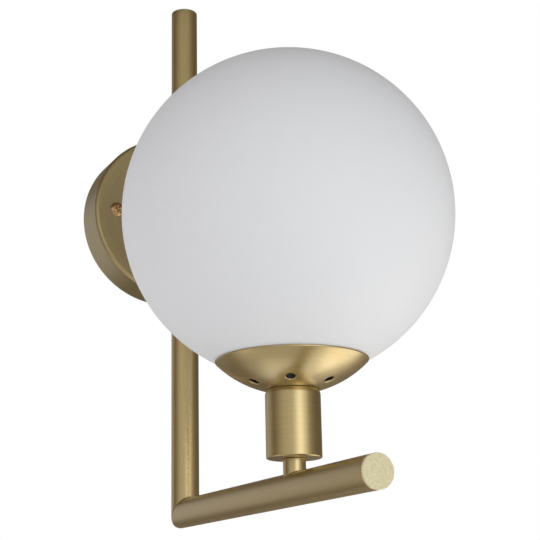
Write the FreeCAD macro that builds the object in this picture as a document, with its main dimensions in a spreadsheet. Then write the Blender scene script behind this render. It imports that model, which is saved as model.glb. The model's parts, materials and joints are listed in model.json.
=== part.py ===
"""Globe wall sconce: a round canopy, a mitred tube arm, a socket cup, a vented dish and an opal globe.

Frame: millimetres, the wall is the plane y = 0 and the room lies towards -Y, +Z is up.
The origin is the centre of the canopy on the wall. The object is symmetric about x = 0.
"""
import FreeCAD, Part
import os
import Sketcher
from FreeCAD import Placement, Rotation, Vector

doc = FreeCAD.newDocument("globe_wall_sconce")

# ------------------------------------------------------------------ driving sizes (mm, degrees)
SIZES = {
    # canopy and what fastens it
    "canopy_diameter": 121, "canopy_depth": 27.8, "canopy_wall": 1.2, "canopy_edge_radius": 2.5,
    "canopy_screw_spacing": 88.9, "screw_shank_diameter": 4, "screw_head_diameter": 10.5,
    "screw_head_height": 3.2, "screw_hole_clearance": 0.5, "screw_end_gap": 3,
    "recess_width": 1.2, "recess_span": 5.2, "recess_depth": 1.8,
    "bracket_length": 108, "bracket_width": 20, "bracket_thickness": 2, "bracket_flat_half": 38.5,
    "bracket_rise": 4, "bracket_ramp": 2.2, "bracket_corner_radius": 4, "bracket_bore": 10.5,
    "slot_spacing": 68, "slot_length": 8.5, "slot_width": 4.5,
    "ground_screw_offset": 14, "ground_head_diameter": 7.5, "ground_head_height": 2.6,
    # arm
    "tube_diameter": 19, "tube_wall": 1.5, "standoff_length": 10.5, "standoff_diameter": 15,
    "tube_rise": 155.2, "arm_drop": 217.4, "arm_reach": 300,
    "plug_head": 1.6, "plug_chamfer": 0.5, "plug_spigot": 6, "plug_fit": 0.05,
    "insert_length": 22, "insert_bore": 10.6, "thread_diameter": 10, "thread_bore": 7,
    "thread_fit": 0.05, "nut_across_flats": 14, "nut_height": 3.2, "washer_diameter": 24,
    "washer_thickness": 1.2, "nipple_stand": 1.5, "hole_clearance": 0.3,
    # lamp holder group, on the axis of the globe
    "stem_diameter": 13.2, "stem_height": 7.8, "cup_diameter": 32.4, "cup_height": 39.7, "cup_wall": 1.5,
    "cup_floor": 1.4, "cup_top_radius": 1.1, "cup_bottom_radius": 0.8,
    "holder_fit": 0.15, "holder_wall": 0.85, "holder_depth": 23.7, "holder_top_gap": 6.8,
    "shell_thickness": 0.3, "contact_radius": 4.5, "contact_height": 1.4, "contact_sink": 1,
    # dish
    "dish_radius": 45.6, "dish_depth": 19.1, "dish_wall": 1, "dish_hole_fit": 0.3,
    "vent_count": 6, "vent_ring_radius": 25, "vent_diameter": 5.5,
    "ring_flange": 18.5, "ring_flange_thickness": 1.5, "ring_skirt": 6, "ring_wall": 0.8,
    "collar_radius": 30.2, "collar_wall": 1.3, "collar_height": 12, "gasket_height": 1.2,
    # globe
    "globe_diameter": 200, "globe_wall": 3, "globe_reach": 208.6,
    "neck_wall": 2.8, "neck_fit": 0.5, "globe_dish_gap": 0.35,
    # lamp
    "lamp_cap_diameter": 26.1, "lamp_cap_length": 25.6, "lamp_tip_radius": 4.5, "lamp_tip_height": 2.4,
    "lamp_insulator_height": 4, "lamp_cap_wall": 0.5, "lamp_wall": 0.9,
    "lamp_diameter": 59, "lamp_length": 106, "lamp_neck_height": 9,
    # wiring inside
    "lead_diameter": 4, "lead_bend": 7, "lead_corner_bend": 13,
    "block_width": 24, "block_depth": 20, "block_height": 13, "block_drop": 20, "block_chamfer": 1.5,
    "block_screw_diameter": 4.4, "block_screw_height": 1.2, "block_screw_pitch": 7.5,
    "block_entry_clearance": 0.4, "block_groove_width": 1.6, "block_groove_depth": 3, "lead_entry": 6,
}

sheet = doc.addObject("Spreadsheet::Sheet", "size")
for row, (alias, number) in enumerate(SIZES.items(), start=1):
    sheet.set(f"A{row}", alias.replace("_", " "))
    sheet.set(f"B{row}", str(number))
    sheet.setAlias(f"B{row}", alias)
doc.recompute()


def size(expression):
    """The number that an expression of sheet cells has now."""
    found = sheet.evalExpression(expression)
    return float(getattr(found, "Value", found))


# ------------------------------------------------------------------ places worked out from the sizes
TUBE_R = "(size.tube_diameter / 2)"
TUBE_BORE_R = "(size.tube_diameter / 2 - size.tube_wall)"
TUBE_Y = "(-size.canopy_depth - size.standoff_length - size.tube_diameter / 2)"
ARM_Z = "(-size.arm_drop)"
GLOBE_R = "(size.globe_diameter / 2)"
AXIS_Y = "(-size.globe_reach)"
CANOPY_INNER_Y = "(-size.canopy_depth + size.canopy_wall)"
CUP_BOTTOM = f"({ARM_Z} + {TUBE_R} + size.stem_height)"
CUP_BORE_R = "(size.cup_diameter / 2 - size.cup_wall)"
CUP_LIP_R = "(size.cup_diameter / 2 - size.cup_top_radius)"
CUP_TOP = f"({CUP_BOTTOM} + size.cup_height)"
# the dish is a spherical bowl that rests on the cup's lip
BOWL_R = "((size.dish_radius ^ 2 + size.dish_depth ^ 2) / (2 * size.dish_depth))"
BOWL_Z = f"({CUP_TOP} + sqrt({BOWL_R} ^ 2 - {CUP_LIP_R} ^ 2))"
BOWL_INNER_R = f"({BOWL_R} - size.dish_wall)"
# the globe's centre follows from the rim, which stays a named gap below the glass
RIM_INNER = "(size.dish_radius - size.dish_wall)"
RIM_Z = f"({BOWL_Z} - {BOWL_R} + size.dish_depth)"
GLOBE_Z = f"({RIM_Z} + sqrt(({GLOBE_R} + size.globe_dish_gap) ^ 2 - {RIM_INNER} ^ 2))"


def bowl_outside(radius):
    """Height of the dish's outer face at a radius."""
    return f"({BOWL_Z} - sqrt({BOWL_R} ^ 2 - {radius} ^ 2))"


def bowl_inside(radius):
    """Height of the dish's inner face at a radius."""
    return f"({BOWL_Z} - sqrt({BOWL_INNER_R} ^ 2 - {radius} ^ 2))"


DISH_HOLE_R = f"({CUP_BORE_R} + size.dish_hole_fit)"
NUT_Z = f"({CUP_BOTTOM} + size.cup_floor)"
HOLDER_Z = f"({NUT_Z} + size.nut_height)"
HOLDER_R = f"({CUP_BORE_R} - size.holder_fit)"
HOLDER_TOP = f"({CUP_TOP} - size.holder_top_gap)"
SHELL_R = f"({HOLDER_R} - size.holder_wall)"
SHELL_BORE_R = f"({SHELL_R} - size.shell_thickness)"
SEAT_Z = f"({HOLDER_TOP} - size.holder_depth)"
HOLDER_FLOOR = f"({SEAT_Z} - {HOLDER_Z})"
LAMP_Z = f"({SEAT_Z} + size.contact_height)"
NECK_BORE_R = "(size.collar_radius + size.neck_fit)"
NECK_R = f"({NECK_BORE_R} + size.neck_wall)"
GASKET_TOP = f"({bowl_inside(NECK_R)} + size.gasket_height)"
INSERT_R = f"({TUBE_BORE_R} - size.plug_fit)"
LEAD_DEPTH = "(size.block_depth - size.block_screw_height - size.lead_diameter / 2)"
THREAD_R = "(size.thread_diameter / 2)"
THREAD_HOLE_R = f"({THREAD_R} + size.thread_fit)"
PASS_HOLE_R = f"({THREAD_R} + size.hole_clearance)"

SUBPARTS = []
UPRIGHT = Rotation()
OUTWARDS = Rotation(Vector(1, 0, 0), 90)      # turns a piece's own +Z towards the room, -Y


# ------------------------------------------------------------------ helpers
def keep(item, label):
    """Names an object as a sub-part of the assembly."""
    item.Label = label
    SUBPARTS.append(item)
    return item


def place(item, x="0", y="0", z="0", turn=UPRIGHT):
    """Sets an object's place from expressions of the sheet."""
    item.Placement = Placement(Vector(), turn)
    for axis, expression in zip("xyz", (x, y, z)):
        item.setExpression(f"Placement.Base.{axis}", expression)
    return item


def origin_feature(body, role):
    """One of a body's own origin planes or axes."""
    return next(feature for feature in body.Origin.OriginFeatures if feature.Role == role)


def new_sketch(body, plane, offset=None):
    """A sketch on one of the body's origin planes, lifted along its normal by an expression."""
    sketch = body.newObject("Sketcher::SketchObject", f"{body.Name}_sketch")
    sketch.AttachmentSupport = [(origin_feature(body, plane), "")]
    sketch.MapMode = "FlatFace"
    if offset:
        sketch.setExpression("AttachmentOffset.Base.z", offset)
    return sketch


def bind(sketch, index, expression):
    """Ties a sketch constraint to the sheet."""
    sketch.setExpression(f"Constraints[{index}]", expression)


def draw_outline(sketch, corners):
    """Draws a closed outline whose corners are (x, y) or (x, y, arc radius, side) expressions.

    An arc runs from its corner to the next one, with its centre to the left (+1) or right (-1).
    """
    first = sketch.GeometryCount
    points = [Vector(size(corner[0]), size(corner[1]), 0) for corner in corners]
    for index, corner in enumerate(corners):
        start, end = points[index], points[(index + 1) % len(points)]
        if len(corner) == 2:
            sketch.addGeometry(Part.LineSegment(start, end), False)
            continue
        radius = size(corner[2])
        chord = end - start
        across = Vector(-chord.y, chord.x, 0).normalize() * corner[3]
        rise = (max(radius ** 2 - (chord.Length / 2) ** 2, 0)) ** 0.5
        middle = (start + end) / 2 + across * (rise - radius)
        sketch.addGeometry(Part.Arc(start, middle, end), False)
    for index, corner in enumerate(corners):
        edge = first + index
        follows = (index + 1) % len(corners)
        edge_start, edge_end = arc_ends(corner)
        next_start, _ = arc_ends(corners[follows])
        sketch.addConstraint(
            Sketcher.Constraint("Coincident", edge, edge_end, first + follows, next_start))
        for kind, value in (("DistanceX", corner[0]), ("DistanceY", corner[1])):
            number = sketch.addConstraint(Sketcher.Constraint(kind, -1, 1, edge, edge_start, size(value)))
            bind(sketch, number, value)
        if len(corner) == 4:
            number = sketch.addConstraint(Sketcher.Constraint("Radius", edge, size(corner[2])))
            bind(sketch, number, corner[2])


def arc_ends(corner):
    """Which vertex of a line or arc lies at its corner, and which at the next corner."""
    if len(corner) == 4 and corner[3] < 0:
        return 2, 1
    return 1, 2


def draw_circle(sketch, radius, x="0", y="0"):
    """Draws a circle whose radius and centre are expressions."""
    index = sketch.addGeometry(Part.Circle(Vector(size(x), size(y), 0), Vector(0, 0, 1), size(radius)), False)
    bind(sketch, sketch.addConstraint(Sketcher.Constraint("Radius", index, size(radius))), radius)
    for kind, value in (("DistanceX", x), ("DistanceY", y)):
        bind(sketch, sketch.addConstraint(Sketcher.Constraint(kind, -1, 1, index, 3, size(value))), value)


def new_body(name):
    """An empty body."""
    return doc.addObject("PartDesign::Body", name)


def turned(name, corners):
    """A body turned about its own Z axis from an outline of (radius, height) corners."""
    body = new_body(name)
    sketch = new_sketch(body, "XZ_Plane")
    draw_outline(sketch, corners)
    revolution = body.newObject("PartDesign::Revolution", f"{name}_turn")
    revolution.Profile = sketch
    revolution.ReferenceAxis = (sketch, ["V_Axis"])
    revolution.Angle = 360
    sketch.Visibility = False
    return body


def padded(name, draw, length, plane="XY_Plane", offset=None, midplane=False):
    """A body padded from what draw(sketch) puts on one of its planes."""
    body = new_body(name)
    sketch = new_sketch(body, plane, offset)
    draw(sketch)
    pad = body.newObject("PartDesign::Pad", f"{name}_pad")
    pad.Profile = sketch
    pad.setExpression("Length", length)
    pad.Midplane = midplane
    return body


def pocket(body, draw, plane="XY_Plane", offset=None, depth=None, reverse=False, both=False):
    """Cuts what draw(sketch) puts on a plane: against its normal, with it, or both ways."""
    sketch = new_sketch(body, plane, offset)
    draw(sketch)
    cut = body.newObject("PartDesign::Pocket", f"{body.Name}_cut")
    cut.Profile = sketch
    if depth:
        cut.setExpression("Length", depth)
    else:
        cut.Type = "ThroughAll"
    cut.Reversed = reverse
    cut.Midplane = both
    return cut


def ring(outer, inner, low, high):
    """The outline of a plain ring."""
    return [(inner, low), (outer, low), (outer, high), (inner, high)]


def hexagon(across_flats):
    """Corners of a hexagon from its size across the flats."""
    reach = f"{across_flats} / 2 / cos(30 deg)"
    return [(f"{reach} * cos({60 * k} deg)", f"{reach} * sin({60 * k} deg)") for k in range(6)]


# ------------------------------------------------------------------ wall bracket and canopy
def build_bracket():
    """A formed strip with slots for the wall box, a centre bore and raised tapped ends."""
    flat, end = "size.bracket_flat_half", "(size.bracket_length / 2)"
    rise, ramp, gauge = "size.bracket_rise", "size.bracket_ramp", "size.bracket_thickness"
    fold = f"({gauge} * (sqrt({ramp} ^ 2 + {rise} ^ 2) - {ramp}) / {rise})"
    right = [(flat, "0"), (f"{flat} + {ramp}", rise), (end, rise), (end, f"{rise} + {gauge}"),
             (f"{flat} + {ramp} - {fold}", f"{rise} + {gauge}"), (f"{flat} - {fold}", gauge)]
    left = [(f"-({x})", y) for x, y in reversed(right)]
    strip = padded("bracket", lambda s: draw_outline(s, right + left), "size.bracket_width",
                   plane="XZ_Plane", midplane=True)

    def holes(sketch):
        draw_circle(sketch, "size.bracket_bore / 2")
        draw_circle(sketch, "size.screw_shank_diameter / 2 + size.thread_fit", "size.ground_screw_offset")
        for side in (1, -1):
            draw_circle(sketch, "size.screw_shank_diameter / 2 + size.thread_fit",
                        f"{side} * size.canopy_screw_spacing / 2")
            low = f"{side} * size.slot_spacing / 2 - size.slot_length / 2 + size.slot_width / 2"
            high = f"{side} * size.slot_spacing / 2 + size.slot_length / 2 - size.slot_width / 2"
            draw_slot(sketch, low, high, "size.slot_width / 2")

    pocket(strip, holes, reverse=True)
    round_off = "size.bracket_corner_radius"

    def corners(sketch):
        for side, level in ((1, 1), (1, -1), (-1, 1), (-1, -1)):
            tip_x, tip_y = f"{side} * {end}", f"{level} * size.bracket_width / 2"
            back_x = f"{side} * ({end} - {round_off})"
            back_y = f"{level} * (size.bracket_width / 2 - {round_off})"
            draw_outline(sketch, [(back_x, tip_y), (tip_x, tip_y), (tip_x, back_y, round_off, side * level)])

    pocket(strip, corners, reverse=True)
    keep(place(strip, turn=OUTWARDS), "mounting_bracket")


def draw_slot(sketch, low, high, half):
    """Draws a slot along the sketch's x axis, with round ends about the centres low and high."""
    corners = [(low, f"-{half}"), (high, f"-{half}"), (high, half), (low, half)]
    points = [Vector(size(x), size(y), 0) for x, y in corners]
    reach = Vector(size(half), 0, 0)
    first = sketch.GeometryCount
    sketch.addGeometry(Part.LineSegment(points[0], points[1]), False)
    sketch.addGeometry(Part.Arc(points[1], (points[1] + points[2]) / 2 + reach, points[2]), False)
    sketch.addGeometry(Part.LineSegment(points[2], points[3]), False)
    sketch.addGeometry(Part.Arc(points[3], (points[3] + points[0]) / 2 - reach, points[0]), False)
    for index, corner in enumerate(corners):
        follows = first + (index + 1) % 4
        sketch.addConstraint(Sketcher.Constraint("Coincident", first + index, 2, follows, 1))
        for kind, value in zip(("DistanceX", "DistanceY"), corner):
            number = sketch.addConstraint(
                Sketcher.Constraint(kind, -1, 1, first + index, 1, size(value)))
            bind(sketch, number, value)
    for index, centre in ((1, high), (3, low)):
        number = sketch.addConstraint(
            Sketcher.Constraint("DistanceX", -1, 1, first + index, 3, size(centre)))
        bind(sketch, number, centre)


def build_screw(name, head_radius, head_height, shank_length):
    """A domed screw with a cross recess: its head stands on its own plane z = 0."""
    shank = "(size.screw_shank_diameter / 2)"
    dome = f"(({head_radius} ^ 2 + {head_height} ^ 2) / (2 * {head_height}))"
    screw = turned(name, [("0", f"-({shank_length})"), (shank, f"-({shank_length})"), (shank, "0"),
                          (head_radius, "0", dome, 1), ("0", head_height)])
    for turn in (0, 1):
        def slot(sketch, turn=turn):
            spans = ("size.recess_span / 2", "size.recess_width / 2")
            half_x, half_y = spans[turn], spans[1 - turn]
            draw_outline(sketch, [(f"-{half_x}", f"-{half_y}"), (half_x, f"-{half_y}"),
                                  (half_x, half_y), (f"-{half_x}", half_y)])
        pocket(screw, slot, offset=head_height, depth="size.recess_depth")
    return screw


def build_canopy():
    """The deep-drawn round canopy, open to the wall, with its bore and two screw holes."""
    outer, edge = "(size.canopy_diameter / 2)", "size.canopy_edge_radius"
    wall, depth = "size.canopy_wall", "size.canopy_depth"
    inner_edge = f"({edge} - {wall})"
    canopy = turned("canopy_shell", [
        (PASS_HOLE_R, f"{depth} - {wall}"), (f"{outer} - {edge}", f"{depth} - {wall}", inner_edge, -1),
        (f"{outer} - {wall}", f"{depth} - {edge}"), (f"{outer} - {wall}", "0"), (outer, "0"),
        (outer, f"{depth} - {edge}", edge, 1), (f"{outer} - {edge}", depth), (PASS_HOLE_R, depth)])

    def holes(sketch):
        for side in (1, -1):
            draw_circle(sketch, "size.screw_shank_diameter / 2 + size.screw_hole_clearance",
                        f"{side} * size.canopy_screw_spacing / 2")
    pocket(canopy, holes, reverse=True)
    keep(place(canopy, turn=OUTWARDS), "canopy")


def build_wall_screws():
    """The two domed screws through the canopy into the bracket, and the bracket's ground screw."""
    screws = []
    for side in (1, -1):
        screw = build_screw(f"canopy_screw_{'right' if side > 0 else 'left'}",
                            "(size.screw_head_diameter / 2)", "size.screw_head_height",
                            "(size.canopy_depth - size.screw_end_gap)")
        place(screw, x=f"{side} * size.canopy_screw_spacing / 2", y="-size.canopy_depth", turn=OUTWARDS)
        screws.append(screw)
    pair = doc.addObject("Part::Compound", "canopy_screw_pair")
    pair.Links = screws
    keep(pair, "canopy_screws")
    ground = build_screw("ground", "(size.ground_head_diameter / 2)", "size.ground_head_height",
                         "size.bracket_thickness")
    keep(place(ground, x="size.ground_screw_offset", y="-size.bracket_thickness", turn=OUTWARDS),
         "ground_screw")


# ------------------------------------------------------------------ arm
def mitre(body, keep_front):
    """Cuts the mitre at a tube's corner, which is the body's own origin."""
    reach = "size.tube_diameter"
    side = -1 if keep_front else 1

    def wedge(sketch):
        draw_outline(sketch, [(f"-{reach}", reach), (reach, f"-{reach}"),
                              (f"{-side} * {reach}", f"{-side} * {reach}")])
    pocket(body, wedge, plane="YZ_Plane", both=True)


def build_tubes():
    """The two round tubes of the arm, mitred at their corner, with their through holes."""
    def section(sketch):
        draw_circle(sketch, TUBE_R)
        draw_circle(sketch, TUBE_BORE_R)

    upright = padded("upright", section, f"size.arm_drop + size.tube_rise - size.plug_head + {TUBE_R}",
                     offset=f"-{TUBE_R}")
    mitre(upright, keep_front=False)
    pocket(upright, lambda s: draw_circle(s, PASS_HOLE_R, "0", "size.arm_drop"), plane="XZ_Plane")
    keep(place(upright, y=TUBE_Y, z=ARM_Z), "upright_tube")

    reach = padded("reach", section, f"size.arm_reach + {TUBE_Y} - size.plug_head + {TUBE_R}",
                   plane="XZ_Plane", offset=f"-{TUBE_R}")
    mitre(reach, keep_front=True)
    pocket(reach, lambda s: draw_circle(s, PASS_HOLE_R, "0", f"{AXIS_Y} - {TUBE_Y}"), reverse=True)
    keep(place(reach, y=TUBE_Y, z=ARM_Z), "reach_tube")


def build_plugs():
    """The flat end plugs of the two tubes: a head as wide as the tube on a spigot inside it."""
    head, chamfer = "size.plug_head", "size.plug_chamfer"
    outline = [("0", "-size.plug_spigot"), (INSERT_R, "-size.plug_spigot"), (INSERT_R, "0"), (TUBE_R, "0"),
               (TUBE_R, f"{head} - {chamfer}"), (f"{TUBE_R} - {chamfer}", head), ("0", head)]
    keep(place(turned("plug_up", outline), y=TUBE_Y, z=f"size.tube_rise - {head}"), "top_plug")
    keep(place(turned("plug_out", outline), y=f"-size.arm_reach + {head}", z=ARM_Z, turn=OUTWARDS),
         "front_plug")


def build_standoff():
    """The spacer between canopy and upright tube, coped to the tube."""
    spacer = turned("standoff", ring("(size.standoff_diameter / 2)", PASS_HOLE_R, "0",
                                     f"size.standoff_length + {TUBE_R}"))
    centre = f"size.standoff_length + {TUBE_R}"
    pocket(spacer, lambda s: draw_circle(s, TUBE_R, "0", centre), plane="XZ_Plane", both=True)
    keep(place(spacer, y="-size.canopy_depth", turn=OUTWARDS), "arm_standoff")


def build_insert(name, label, turn, y, z):
    """A threaded insert inside a tube: bored along the tube, tapped across it for a nipple."""
    insert = turned(name, ring(INSERT_R, "(size.insert_bore / 2)", "-size.insert_length / 2",
                               "size.insert_length / 2"))
    pocket(insert, lambda s: draw_circle(s, THREAD_HOLE_R), plane="XZ_Plane")
    keep(place(insert, y=y, z=z, turn=turn), label)


def build_nipples():
    """The two hollow threaded nipples with their nuts, washer and inserts."""
    thread, bore = THREAD_R, "(size.thread_bore / 2)"
    arm_start = f"({CANOPY_INNER_Y} + size.washer_thickness + size.nut_height + size.nipple_stand)"
    arm_end = f"({TUBE_Y} + size.insert_bore / 2 + size.plug_fit)"
    nipple = turned("nipple_arm", ring(thread, bore, "0", f"{arm_start} - {arm_end}"))
    keep(place(nipple, y=arm_start, turn=OUTWARDS), "arm_nipple")
    stem_start = f"({ARM_Z} + size.insert_bore / 2 + size.plug_fit)"
    stem_end = f"({HOLDER_Z} + size.nipple_stand)"
    nipple = turned("nipple_stem", ring(thread, bore, "0", f"{stem_end} - {stem_start}"))
    keep(place(nipple, y=AXIS_Y, z=stem_start), "stem_nipple")

    def nut(name):
        body = padded(name, lambda s: draw_outline(s, hexagon("size.nut_across_flats")), "size.nut_height")
        pocket(body, lambda s: draw_circle(s, THREAD_HOLE_R), reverse=True)
        return body

    washer = turned("washer", ring("(size.washer_diameter / 2)", PASS_HOLE_R, "0", "size.washer_thickness"))
    keep(place(washer, y=f"{CANOPY_INNER_Y} + size.washer_thickness", turn=OUTWARDS), "nipple_washer")
    keep(place(nut("nut_arm"), y=f"{CANOPY_INNER_Y} + size.washer_thickness + size.nut_height",
               turn=OUTWARDS), "nipple_nut")
    keep(place(nut("nut_stem"), y=AXIS_Y, z=NUT_Z), "stem_nut")

    build_insert("insert_arm", "arm_insert", UPRIGHT, TUBE_Y, "0")
    build_insert("insert_stem", "stem_insert", OUTWARDS, AXIS_Y, ARM_Z)


def build_stem():
    """The short round stem coped onto the reach tube, under the socket cup."""
    stem = turned("stem_body", ring("(size.stem_diameter / 2)", PASS_HOLE_R, "0",
                                    f"{TUBE_R} + size.stem_height"))
    pocket(stem, lambda s: draw_circle(s, TUBE_R), plane="XZ_Plane", both=True)
    keep(place(stem, y=AXIS_Y, z=ARM_Z), "stem")


# ------------------------------------------------------------------ lamp holder and dish
def build_cup():
    """The turned socket cup with its rounded edges."""
    outer, top, floor = "(size.cup_diameter / 2)", "size.cup_top_radius", "size.cup_floor"
    foot, height = "size.cup_bottom_radius", "size.cup_height"
    cup = turned("cup", [
        (PASS_HOLE_R, "0"), (f"{outer} - {foot}", "0", foot, 1), (outer, foot),
        (outer, f"{height} - {top}", top, 1), (f"{outer} - {top}", height), (CUP_BORE_R, height),
        (CUP_BORE_R, floor), (PASS_HOLE_R, floor)])
    keep(place(cup, y=AXIS_Y, z=CUP_BOTTOM), "socket_cup")


def build_lampholder():
    """The lamp holder: moulded body, screw shell and centre contact."""
    floor, height = HOLDER_FLOOR, f"({HOLDER_TOP} - {HOLDER_Z})"
    body = turned("holder", [(THREAD_HOLE_R, "0"), (HOLDER_R, "0"), (HOLDER_R, height), (SHELL_R, height),
                             (SHELL_R, floor), (THREAD_HOLE_R, floor)])
    keep(place(body, y=AXIS_Y, z=HOLDER_Z), "lampholder_body")
    shell = turned("shell", ring(SHELL_R, SHELL_BORE_R, floor, height))
    keep(place(shell, y=AXIS_Y, z=HOLDER_Z), "screw_shell")
    contact = turned("contact", [
        ("0", f"{floor} - size.contact_sink"), (THREAD_R, f"{floor} - size.contact_sink"),
        (THREAD_R, floor), ("size.contact_radius", f"{floor} + size.contact_height"),
        ("0", f"{floor} + size.contact_height")])
    keep(place(contact, y=AXIS_Y, z=HOLDER_Z), "centre_contact")


def build_dish():
    """The spun dish with its ring of vents, the ring that clamps it, its collar and its gasket."""
    dish = turned("bowl", [
        (DISH_HOLE_R, bowl_outside(DISH_HOLE_R), BOWL_R, 1), ("size.dish_radius", RIM_Z),
        (RIM_INNER, RIM_Z, BOWL_INNER_R, -1), (DISH_HOLE_R, bowl_inside(DISH_HOLE_R))])
    vent = pocket(dish, lambda s: draw_circle(
        s, "size.vent_diameter / 2", "size.vent_ring_radius"), both=True)
    pattern = dish.newObject("PartDesign::PolarPattern", "vent_ring")
    pattern.Originals = [vent]
    pattern.Axis = (origin_feature(dish, "Z_Axis"), [""])
    pattern.Angle = 360
    pattern.setExpression("Occurrences", "size.vent_count")
    dish.Tip = pattern
    keep(place(dish, y=AXIS_Y), "dish")

    flange_z = bowl_inside("size.ring_flange")
    skirt_r = f"({CUP_BORE_R} - size.thread_fit)"
    bore = f"({skirt_r} - size.ring_wall)"
    clamp = turned("clamp", [
        (bore, f"{CUP_TOP} - size.ring_skirt"), (skirt_r, f"{CUP_TOP} - size.ring_skirt"),
        (skirt_r, flange_z), ("size.ring_flange", flange_z),
        ("size.ring_flange", f"{flange_z} + size.ring_flange_thickness"),
        (bore, f"{flange_z} + size.ring_flange_thickness")])
    keep(place(clamp, y=AXIS_Y), "clamp_ring")

    foot = bowl_inside("size.collar_radius")
    collar = turned("collar", ring("size.collar_radius", "(size.collar_radius - size.collar_wall)", foot,
                                   f"{foot} + size.collar_height"))
    keep(place(collar, y=AXIS_Y), "globe_collar")

    gasket = turned("gasket", [(NECK_BORE_R, bowl_inside(NECK_BORE_R)), (NECK_R, bowl_inside(NECK_R)),
                               (NECK_R, GASKET_TOP), (NECK_BORE_R, GASKET_TOP)])
    keep(place(gasket, y=AXIS_Y), "globe_gasket")


# ------------------------------------------------------------------ globe and lamp
def build_globe():
    """The blown globe with its short neck, modelled about the globe's centre."""
    inner = f"({GLOBE_R} - size.globe_wall)"
    rest = f"({GASKET_TOP} - {GLOBE_Z})"
    outer_join = f"-sqrt({GLOBE_R} ^ 2 - {NECK_R} ^ 2)"
    inner_join = f"-sqrt({inner} ^ 2 - {NECK_BORE_R} ^ 2)"
    globe = turned("sphere", [
        (NECK_BORE_R, rest), (NECK_R, rest), (NECK_R, outer_join, GLOBE_R, 1), (GLOBE_R, "0", GLOBE_R, 1),
        ("0", GLOBE_R), ("0", inner, inner, -1), (inner, "0", inner, -1), (NECK_BORE_R, inner_join)])
    keep(place(globe, y=AXIS_Y, z=GLOBE_Z), "globe")


def build_lamp():
    """The lamp on the centre contact: tip, insulator, screw cap and hollow envelope."""
    cap_r, tip_r, tip = "(size.lamp_cap_diameter / 2)", "size.lamp_tip_radius", "size.lamp_tip_height"
    cap_inner, cap_top = f"({cap_r} - size.lamp_cap_wall)", "size.lamp_cap_length"
    cap_low = f"({tip} + size.lamp_insulator_height)"
    tip_body = turned("tip", [("0", "0"), (f"{tip_r} - 1", "0"), (tip_r, tip), ("0", tip)])
    keep(place(tip_body, y=AXIS_Y, z=LAMP_Z), "lamp_contact")
    plug_r, plug_top = f"({cap_inner} - size.plug_fit)", f"({cap_low} + size.lamp_insulator_height / 2)"
    insulator = turned("insulator", [("0", tip), (tip_r, tip), (plug_r, cap_low), (plug_r, plug_top),
                                     ("0", plug_top)])
    keep(place(insulator, y=AXIS_Y, z=LAMP_Z), "lamp_insulator")
    cap = turned("cap", ring(cap_r, cap_inner, cap_low, cap_top))
    keep(place(cap, y=AXIS_Y, z=LAMP_Z), "lamp_cap")

    wall, bulb_r = "size.lamp_wall", "(size.lamp_diameter / 2)"
    inner_r = f"({bulb_r} - {wall})"
    neck_top = f"({cap_top} + size.lamp_neck_height)"
    bulb_z = f"(size.lamp_length - {bulb_r})"
    low_r, low_z = "cos(35 deg)", "sin(35 deg)"
    envelope = turned("bulb", [
        (f"{cap_r} - {wall}", cap_top), (cap_r, cap_top), (cap_r, neck_top),
        (f"{bulb_r} * {low_r}", f"{bulb_z} - {bulb_r} * {low_z}", bulb_r, 1), (bulb_r, bulb_z, bulb_r, 1),
        ("0", "size.lamp_length"), ("0", f"size.lamp_length - {wall}", inner_r, -1),
        (inner_r, bulb_z, inner_r, -1), (f"{inner_r} * {low_r}", f"{bulb_z} - {inner_r} * {low_z}"),
        (f"{cap_r} - {wall}", neck_top)])
    keep(place(envelope, y=AXIS_Y, z=LAMP_Z), "lamp_envelope")


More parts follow.
